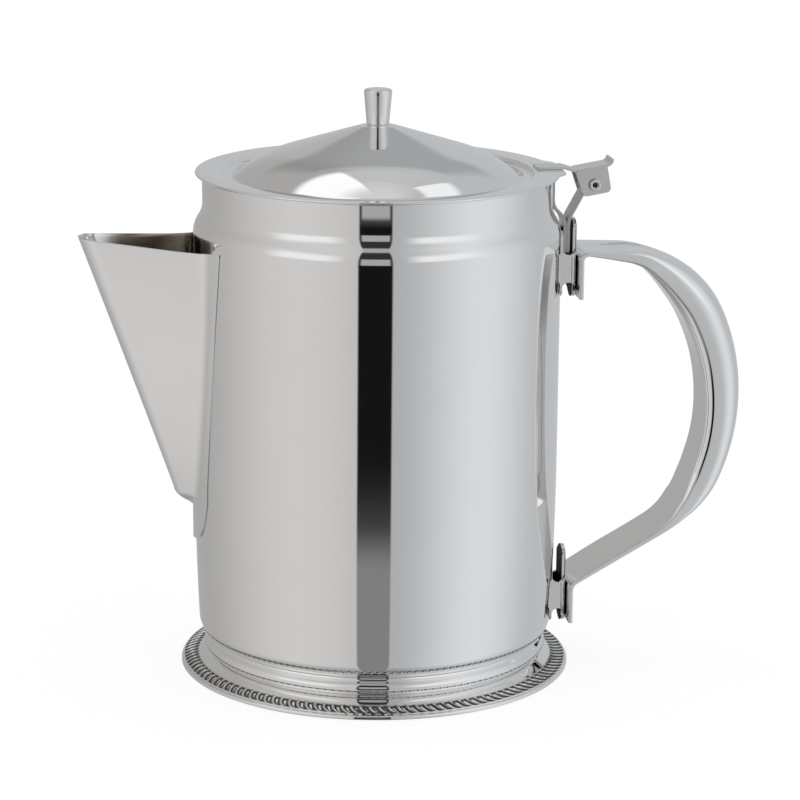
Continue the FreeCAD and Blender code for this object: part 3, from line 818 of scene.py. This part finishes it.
def make_handle():
    """A sheet wrapped round the sections along the path: a tube at the grip, pressed flat at both ends."""
    start = -tab_bend_radius * math.pi / 2 - upper_tab_length
    end = sum(run for _, _, run in handle_runs())
    rows, half = 300, len(tube_half(0.0)) - 1
    bare()
    bpy.ops.mesh.primitive_grid_add(x_subdivisions=rows, y_subdivisions=2 * half, size=2)
    tube = bpy.context.object
    tube.name = "handle_tube"
    for vertex in tube.data.vertices:
        length = start + (end - start) * (vertex.co.x + 1) / 2
        place = round(vertex.co.y * half)
        x, z, heading = handle_place(length)
        y, w = tube_half(handle_opened(length))[abs(place)]
        if 0 < length < dent_span and abs(place) <= crown_steps:
            w += thumb_dent(x, y)
        y = math.copysign(y, place)
        vertex.co = Vector((x - w * math.sin(heading), y, z - w * math.cos(heading))) * MM
    bpy.ops.object.mode_set(mode="EDIT")
    bpy.ops.mesh.select_all(action="SELECT")
    bpy.ops.mesh.remove_doubles(threshold=1e-6)
    bpy.ops.mesh.fill_holes(sides=0)
    face_outwards()
    soften(tube, handle_edge_bevel, 2, 60)
    return tube


def spout_shape(z):
    """Nose centre, nose radius and wall angle of the spout's level section."""
    if z < spout_foot_z:
        share = min(1.0, (spout_foot_z - z) / spout_foot_drop)
        tuck = 1 - (1 - share * share) ** spout_tuck_power
        centre = spout_foot_x - tuck * spout_foot_tuck - spout_foot_radius
        return centre, spout_foot_radius, math.radians(spout_foot_angle)
    spots = []
    for nose, radius, angle in ((spout_foot_x, spout_foot_radius, spout_foot_angle),
                                (spout_tip_x, spout_tip_radius, spout_tip_angle)):
        turn = math.radians(angle)
        centre = nose - radius
        touch = (centre + radius * math.sin(turn), radius * math.cos(turn))
        spots.append((touch, radius / math.cos(turn) + (centre - spout_root_x) * math.tan(turn)))
    share = (z - spout_foot_z) / (spout_tip_z - spout_foot_z)
    (low, low_root), (top, top_root) = spots
    touch = (low[0] + share * (top[0] - low[0]), low[1] + share * (top[1] - low[1]))
    root_y = low_root + share * (top_root - low_root)
    angle = math.atan2(root_y - touch[1], touch[0] - spout_root_x)
    radius = touch[1] / math.cos(angle)
    return touch[0] - radius * math.sin(angle), radius, angle


def flange_edge(z):
    """Angle round the pot at which the spout's flange ends."""
    low = body_radius * math.sin(math.radians(spout_flange_low))
    top = body_radius * math.sin(math.radians(spout_flange_top))
    if z >= spout_flange_low_z:
        y = low + (top - low) * (z - spout_flange_low_z) / (spout_root_z - spout_flange_low_z)
    else:
        drop = (spout_flange_low_z - z) / (spout_flange_low_z - spout_flange_end_z)
        y = low * math.sqrt(max(0.0, 1 - drop ** spout_flange_round))
    return math.asin(y / (body_radius + spout_sheet))


def spout_section(z, edge, count):
    """Points of half a level section, from the flange's edge round a bend and along the wall to the nose."""
    centre, radius, angle = spout_shape(z)
    pot = body_radius + spout_sheet
    bend = spout_bend_radius
    reach = centre * math.sin(angle) + radius
    turn = math.asin(min(1.0, (reach + bend) / (pot + bend))) - angle
    middle = ((pot + bend) * math.cos(turn), (pot + bend) * math.sin(turn))
    touch = (centre + radius * math.sin(angle), radius * math.cos(angle))
    wall = (middle[0] - bend * math.sin(angle), middle[1] - bend * math.cos(angle))
    nose_turn = math.pi / 2 - angle
    straight = (touch[0] - wall[0]) * math.cos(angle) - (touch[1] - wall[1]) * math.sin(angle) > 0
    points = []
    if not straight:
        ratio = ((pot + bend) ** 2 + centre ** 2 - (radius + bend) ** 2) / (2 * (pot + bend) * centre)
        turn = math.acos(min(1.0, ratio))
        middle = ((pot + bend) * math.cos(turn), (pot + bend) * math.sin(turn))
        nose_turn = math.atan2(middle[1], middle[0] - centre)
    for k in range(9):
        a = edge + (turn - edge) * k / 8
        r = body_radius + spout_sheet * (spout_flange_thin + (1 - spout_flange_thin) * k / 8)
        points.append((r * math.cos(a), r * math.sin(a)))
    if turn > 1e-4:
        first = turn + math.pi
        last = math.pi + nose_turn
        for k in range(1, 17):
            a = first + (last - first) * k / 16
            points.append((middle[0] + bend * math.cos(a), middle[1] + bend * math.sin(a)))
        if straight:
            points.append(touch)
        for k in range(1, 17):
            a = nose_turn * (1 - k / 16)
            points.append((centre + radius * math.cos(a), radius * math.sin(a)))
    return spread(points, count)


def spread(points, count):
    """The same line through evenly spaced points."""
    runs = [math.dist(a, b) for a, b in zip(points, points[1:])]
    total = sum(runs)
    placed = []
    k, gone = 0, 0.0
    for n in range(count + 1):
        wanted = total * n / count
        while k < len(runs) - 1 and gone + runs[k] < wanted:
            gone += runs[k]
            k += 1
        part = min(1.0, (wanted - gone) / runs[k]) if runs[k] else 0.0
        a, b = points[k], points[k + 1]
        placed.append((a[0] + part * (b[0] - a[0]), a[1] + part * (b[1] - a[1])))
    return placed


def make_spout():
    """A sheet laid over the spout's sections, bent out of the flange into the folded V."""
    rows, half = 84, 56
    bare()
    bpy.ops.mesh.primitive_grid_add(x_subdivisions=2 * half, y_subdivisions=rows, size=2)
    sheet = bpy.context.object
    sheet.name = "spout_fold"
    slope = (spout_tip_z - spout_root_z) / (spout_tip_x - body_radius)
    low_z = spout_flange_end_z + spout_flange_start
    sections = {}
    for vertex in sheet.data.vertices:
        share = round((vertex.co.y + 1) / 2, 5)
        if share not in sections:
            z = low_z + share * (spout_root_z - low_z)
            edge = flange_edge(z)
            higher = spout_section(z + spout_section_step, edge, half)
            sections[share] = z, spout_section(z, edge, half), higher
        z, here, above = sections[share]
        k = round((1 - abs(vertex.co.x)) * half)
        (x0, y0), (x1, y1) = here[k], above[k]
        tilt = share * slope
        climb = tilt * max(0.0, x0 - body_radius) / (spout_section_step - tilt * (x1 - x0))
        x, y = x0 + climb * (x1 - x0), y0 + climb * (y1 - y0)
        lift = spout_flange_lift * share ** spout_flange_lift_power * rise(y, *spout_flange_lift_span)
        z += spout_section_step * climb + lift
        vertex.co = Vector((-x, math.copysign(y, vertex.co.x), z)) * MM
    bpy.ops.object.mode_set(mode="EDIT")
    face_outwards()
    return sheet


def dressed(node, name, bevel=0.12):
    """A merged copy of a node with its flat faces joined and its edges broken."""
    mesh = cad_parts[node].data.copy()
    piece = bpy.data.objects.new(name, mesh)
    bpy.context.scene.collection.objects.link(piece)
    pick(piece)
    bpy.ops.object.mode_set(mode="EDIT")
    bpy.ops.mesh.select_all(action="SELECT")
    bpy.ops.mesh.remove_doubles(threshold=2e-6)
    bpy.ops.mesh.customdata_custom_splitnormals_clear()
    bpy.ops.mesh.dissolve_limited(angle_limit=math.radians(0.5))
    bpy.ops.object.mode_set(mode="OBJECT")
    if bevel:
        soften(piece, bevel, 2, 40)
    return piece


def coat(piece, first, second, rule):
    """Gives a piece two finishes; the second is for the faces that the rule picks by centre and normal."""
    piece.data.materials.clear()
    piece.data.materials.append(first)
    piece.data.materials.append(second)
    for polygon in piece.data.polygons:
        polygon.material_index = int(rule(polygon.center, polygon.normal))


def make_rivet():
    """The hinge pin with a dimple pressed into each end."""
    pin = dressed("hinge_pin", "hinge_rivet", rivet_bevel)
    reach = max(abs(vertex.co.y) for vertex in pin.data.vertices)
    for side in (-1, 1):
        select_faces(pin, lambda c, n: n.y * side > 0.99 and c.y * side > reach - rivet_end * MM)
        bpy.ops.object.mode_set(mode="EDIT")
        bpy.ops.mesh.inset(thickness=rivet_rim * MM)
        bpy.ops.mesh.extrude_region_move(TRANSFORM_OT_translate={"value": (0, -rivet_dimple * side * MM, 0)})
        taper = (rivet_dimple_taper, 1, rivet_dimple_taper)
        bpy.ops.transform.resize(value=taper, center_override=(hinge_x * MM, 0, hinge_z * MM))
        bpy.ops.object.mode_set(mode="OBJECT")
    return pin, reach


def make_scoop():
    """One pressed scoop of the border at +X, hollow in the middle, with a curved ridge at each side."""
    bare()
    bpy.ops.mesh.primitive_grid_add(x_subdivisions=8, y_subdivisions=6, size=2)
    scoop = bpy.context.object
    pitch = 2 * math.pi / lobe_count
    for vertex in scoop.data.vertices:
        share = (vertex.co.x + 1) / 2
        side = vertex.co.y
        r = border_inner + share * (border_outer - border_inner)
        z = border_top_z + share * (border_low_z - border_top_z)
        lean = scoop_lean * (share - 0.5) + scoop_curl * (share - 0.5) ** 2
        turn = pitch * (side / 2 + lean)
        full = rise(share, *scoop_opening) * (1 - rise(share, *scoop_closing))
        z += scoop_depth * (abs(side) ** scoop_roundness * full + scoop_end_height * (1 - full)) - scoop_sink
        vertex.co = Vector((r * math.cos(turn), r * math.sin(turn), z)) * MM
    return scoop


def make_border():
    """The scoop copied round the foot and joined to one ring."""
    scoop = make_scoop()
    copies = []
    for k in range(1, lobe_count):
        copy = scoop.copy()
        copy.data = scoop.data.copy()
        copy.data.transform(Matrix.Rotation(2 * math.pi * k / lobe_count, 4, "Z"))
        bpy.context.scene.collection.objects.link(copy)
        copies.append(copy)
    joined([scoop] + copies)
    scoop.name = "gadroon_border"
    bpy.ops.object.mode_set(mode="EDIT")
    bpy.ops.mesh.select_all(action="SELECT")
    bpy.ops.mesh.remove_doubles(threshold=5e-6)
    bpy.ops.object.mode_set(mode="OBJECT")
    modify(scoop, "SOLIDIFY", thickness=border_sheet * MM, offset=-1.0)
    return scoop


def make_floor():
    """White paper floor with a faint shadow; mirror reflections look past it to the tent."""
    bare()
    bpy.ops.mesh.primitive_plane_add(size=floor_size, location=(0, 0, floor_z))
    floor = bpy.context.object
    floor.name = "floor"
    material = bpy.data.materials.new("floor_paper")
    material.use_nodes = True
    tree = material.node_tree
    tree.nodes.remove(tree.nodes["Principled BSDF"])
    path = tree.nodes.new("ShaderNodeLightPath")
    glossy = Paint(tree, path.outputs["Is Glossy Ray"])
    seen = Paint(tree, path.outputs["Is Camera Ray"])
    paper = glossy.node("ShaderNodeBsdfDiffuse", Color=(0.9, 0.9, 0.9, 1))
    shade = glossy.node("ShaderNodeBsdfDiffuse", Color=(0.4, 0.4, 0.4, 1))
    white = glossy.node("ShaderNodeEmission", Color=(0.78, 0.78, 0.78, 1), Strength=1.0)
    backdrop = glossy.node("ShaderNodeAddShader", _0=shade, _1=white)
    clear = glossy.node("ShaderNodeBsdfTransparent")
    plain = glossy.node("ShaderNodeMixShader", _0=seen, _1=paper, _2=backdrop)
    mixed = glossy.node("ShaderNodeMixShader", _0=glossy, _1=plain, _2=clear)
    link(mixed, tree.nodes["Material Output"], "Surface")
    floor.data.materials.append(material)


def make_tent():
    """White light tent with a dark gap where the camera looks in; white for the camera itself."""
    world = bpy.data.worlds.new("light_tent")
    bpy.context.scene.world = world
    world.use_nodes = True
    tree = world.node_tree
    tree.nodes.clear()
    view = Paint(tree, tree.nodes.new("ShaderNodeTexCoord").outputs["Generated"])
    x, y, z = view.axes()
    front = view.maths("ARCTAN2", x, 0.0 - y) * math.degrees(1)
    back = view.maths("ARCTAN2", 0.0 - x, y) * math.degrees(1)
    aside = view.maths("ABSOLUTE", front - gap_middle)

    def pool(middle, half):
        """A pool of light on the walls, brightest at its middle."""
        return pool_gain * (1.0 - view.maths("ABSOLUTE", back - middle).step(0, half))

    handle_side = 1.0 - back.step(*wall_change_back)
    raised = back.step(*wall_change_front) * handle_side
    walls = spout_wall_level + (handle_wall_level - spout_wall_level) * raised
    walls = walls + pool(spout_pool_middle, spout_pool_spread) + pool(handle_pool_middle, handle_pool_spread)
    tent = handle_side.blend(warm_tint, cool_tint).scaled(walls)
    tent = (aside.band(*box_sides) * z.band(*box_heights)).blend(tent, box_colour)
    tent = (shade_share * aside.step(*shade_side) * z.band(*shade_heights)).blend(tent, shade_colour)

    high = z.step(*top_heights)
    behind = aside.step(*roof_change)
    roof = roof_front_level + (roof_back_level - roof_front_level) * behind
    top = top_front_level + (top_back_level - top_front_level) * behind
    roof = roof + (top - roof) * high
    roof = roof + (spout_panel_level - roof) * back.band(*spout_panel_sides)
    roof = roof + (handle_panel_level - roof) * back.band(*handle_panel_sides) * (1.0 - high)
    roof = handle_side.blend(white_tint, roof_cool_tint).scaled(roof)
    tent = z.step(*roof_heights).blend(tent, roof)
    tent = z.step(*zenith_heights).blend(tent, zenith_colour)
    tent = tent.scaled(low_level + (1 - low_level) * z.step(*low_heights))

    inside = gap_floor_level
    for low, full, level in gap_zones:
        inside = inside + (level - inside) * z.step(low, full)
    panel = (1.0 - aside.step(*gap_panel_side)) * z.band(*gap_panel_heights)
    gap = 1.0 - aside.step(gap_half - gap_edge, gap_half + gap_edge)
    tent = gap.blend(tent, panel.blend(inside, gap_panel_colour))
    path = tree.nodes.new("ShaderNodeLightPath")
    camera = Paint(tree, path.outputs["Is Camera Ray"])
    sky = view.node("ShaderNodeBackground", Color=camera.blend(tent, white_tint), Strength=1.0)
    output = tree.nodes.new("ShaderNodeOutputWorld")
    link(sky, output, "Surface")


def make_camera():
    """Camera at the photograph's place: a long lens, a little above and left of the pot's side."""
    data = bpy.data.cameras.new("camera")
    data.lens = camera_lens
    data.sensor_width = camera_sensor
    camera = bpy.data.objects.new("camera", data)
    bpy.context.scene.collection.objects.link(camera)
    heading = Matrix.Rotation(math.radians(camera_heading), 4, "Z")
    tilt = Matrix.Rotation(math.radians(camera_tilt), 4, "X")
    roll = Matrix.Rotation(math.radians(camera_roll), 4, "Z")
    camera.matrix_world = Matrix.Translation(camera_place) @ heading @ tilt @ roll
    bpy.context.scene.camera = camera


mirror = polished_steel()
satin = brushed("satin_steel", low=(0.70, 0.695, 0.685, 1), high=(0.78, 0.775, 0.77, 1),
                rough=0.2, grain=(1300.0, 400.0, 400.0), strength=0.006)
bright = brushed("bright_steel", low=(0.78, 0.775, 0.765, 1), high=(0.86, 0.855, 0.85, 1),
                 rough=0.05, grain=(1500.0, 1500.0, 90.0), strength=0.06)
spout_inside = spout_inside_steel()
fluted = border_steel()
# Painted shade: a darker copy of the satin steel, for the rim and hinge straps
shaded_satin = brushed("shaded_satin_steel", low=(0.46, 0.455, 0.445, 1), high=(0.58, 0.575, 0.565, 1),
               rough=0.22, grain=(2600.0, 2600.0, 300.0), strength=0.05)
# Painted shade, for the insides of the brackets and the rivet's dimples
dark = painted_shade_finish()

pot = make_pot_body()
coat(pot, mirror, satin,
     lambda c, n: c.x * n.x + c.y * n.y < -1e-6 or n.z > 0.5 and c.z < inside_bottom_z * MM)
finish(pot, "pot_body", "pot", mirror)
finish(make_base(), "base", "pot", mirror)
border = make_border()
smooth(border, 60)
border.data.materials.append(fluted)
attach(border, "pot")
finish(make_lid(), "lid", "lid", mirror)
finish(make_knob(), "lid_knob", "lid", bright)
finish(make_handle(), "handle", "pot", mirror, 45)
fold = make_spout()
fold.data.materials.append(mirror)
fold.data.materials.append(spout_inside)
modify(fold, "SOLIDIFY", thickness=spout_sheet * MM, offset=-1.0, material_offset=1)
soften(fold, spout_edge_bevel, 3, 50)
finish(fold, "spout", "pot", mirror, 45)
for node, name, middle in (("upper_bracket", "upper_stay", upper_bracket_middle),
                           ("lower_bracket", "lower_stay", lower_bracket_middle)):
    stay = dressed(node, name)
    # Painted shade: the faces inside each bracket, towards its middle, get the dark finish
    coat(stay, bright, dark, lambda c, n: (c.x - middle * MM) * n.x + c.y * n.y < 0 and abs(n.z) < 0.6)
    finish(stay, node, "pot", bright, even=True)
finish(dressed("rim_brace", "rim_strap"), "rim_brace", "pot", shaded_satin, even=True)
finish(dressed("hinge_arm", "hinge_strap"), "hinge_arm", "pot", shaded_satin, even=True)
finish(dressed("hinge_leaf", "thumb_plate"), "hinge_leaf", "lid", satin, even=True)
rivet, reach = make_rivet()
# Painted shade: the faces of the rivet's dimples get the dark finish
coat(rivet, bright, dark, lambda c, n: abs(c.y) < reach - 0.1 * MM)
finish(rivet, "hinge_pin", "lid", bright, even=True)
finish(dressed("knob_screw", "knob_bolt"), "knob_screw", "lid", satin, even=True)

make_floor()
make_tent()
make_camera()
bpy.context.scene.view_settings.view_transform = "Standard"
